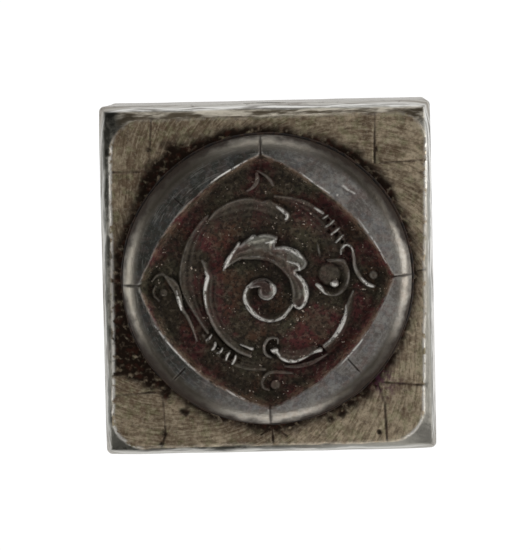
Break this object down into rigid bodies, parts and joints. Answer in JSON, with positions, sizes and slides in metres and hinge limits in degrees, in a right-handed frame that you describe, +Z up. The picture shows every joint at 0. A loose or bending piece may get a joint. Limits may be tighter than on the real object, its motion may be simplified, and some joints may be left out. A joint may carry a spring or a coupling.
{
  "type": "stamping tool",
  "caption": "Hand-struck stamping tool: square steel holder with a round engraved die, screwed to the shank of a turned wooden handle with a steel striking cap.",
  "frame": {"origin": "middle of the striking face, which is the bottom of the cap when the tool stands on it", "axes": "+Z up the tool's axis towards the working face, +X to the right and +Y to the top of the ornament seen from above"},
  "size_m": [0.0384, 0.0406, 0.1236],
  "materials": {
    "holder_steel": "old machined steel, grimy, worn bright at the edges",
    "die_steel": "polished by use, dark grime and rust in the recess",
    "screw_steel": "black oxide",
    "shank_steel": "turned, dulled by age",
    "leather": "dark oiled leather",
    "brass": "dull patina",
    "wood": "oiled hardwood, darkened by hands"
  },
  "bodies": {
    "holder": {"holder_block": "holder_steel"},
    "die_seat": {"packing_ring": "leather"},
    "die": {"die_insert": "die_steel"},
    "screw_right": {"set_screw_right": "screw_steel"},
    "screw_back": {"set_screw_back": "screw_steel"},
    "screw_left": {"set_screw_left": "screw_steel"},
    "screw_front": {"set_screw_front": "screw_steel"},
    "handle_thread": {"lock_washer": "screw_steel"},
    "handle": {"shank": "shank_steel", "front_buffer_washer": "leather", "front_ferrule": "brass", "ferrule_pin": "brass", "handle_grip": "wood", "rear_hoop": "shank_steel", "rear_buffer_washer": "leather", "striking_cap": "shank_steel", "cap_pin": "screw_steel"}
  },
  "joints": [
    {"name": "die_lift", "type": "slide", "parent": "holder", "child": "die_seat", "axis": [0, 0, 1], "range_m": [0, 0.014]},
    {"name": "die_turn", "type": "hinge", "parent": "die_seat", "child": "die", "pos_m": [0, 0, 0.12], "axis": [0, 0, 1], "continuous": true},
    {"name": "screw_right_back_out", "type": "slide", "parent": "holder", "child": "screw_right", "axis": [1, 0, 0], "range_m": [0, 0.006]},
    {"name": "screw_back_back_out", "type": "slide", "parent": "holder", "child": "screw_back", "axis": [0, 1, 0], "range_m": [0, 0.006]},
    {"name": "screw_left_back_out", "type": "slide", "parent": "holder", "child": "screw_left", "axis": [-1, 0, 0], "range_m": [0, 0.006]},
    {"name": "screw_front_back_out", "type": "slide", "parent": "holder", "child": "screw_front", "axis": [0, -1, 0], "range_m": [0, 0.006]},
    {"name": "handle_advance", "type": "slide", "parent": "holder", "child": "handle_thread", "axis": [0, 0, -1], "range_m": [0, 0.0106]},
    {"name": "handle_unscrew", "type": "hinge", "parent": "handle_thread", "child": "handle", "pos_m": [0, 0, 0.09], "axis": [0, 0, -1], "range_deg": [0, 2160]}
  ],
  "couplings": [
    {"joint": "handle_advance", "follows": "handle_unscrew", "m_per_rad": 0.00027852}
  ]
}
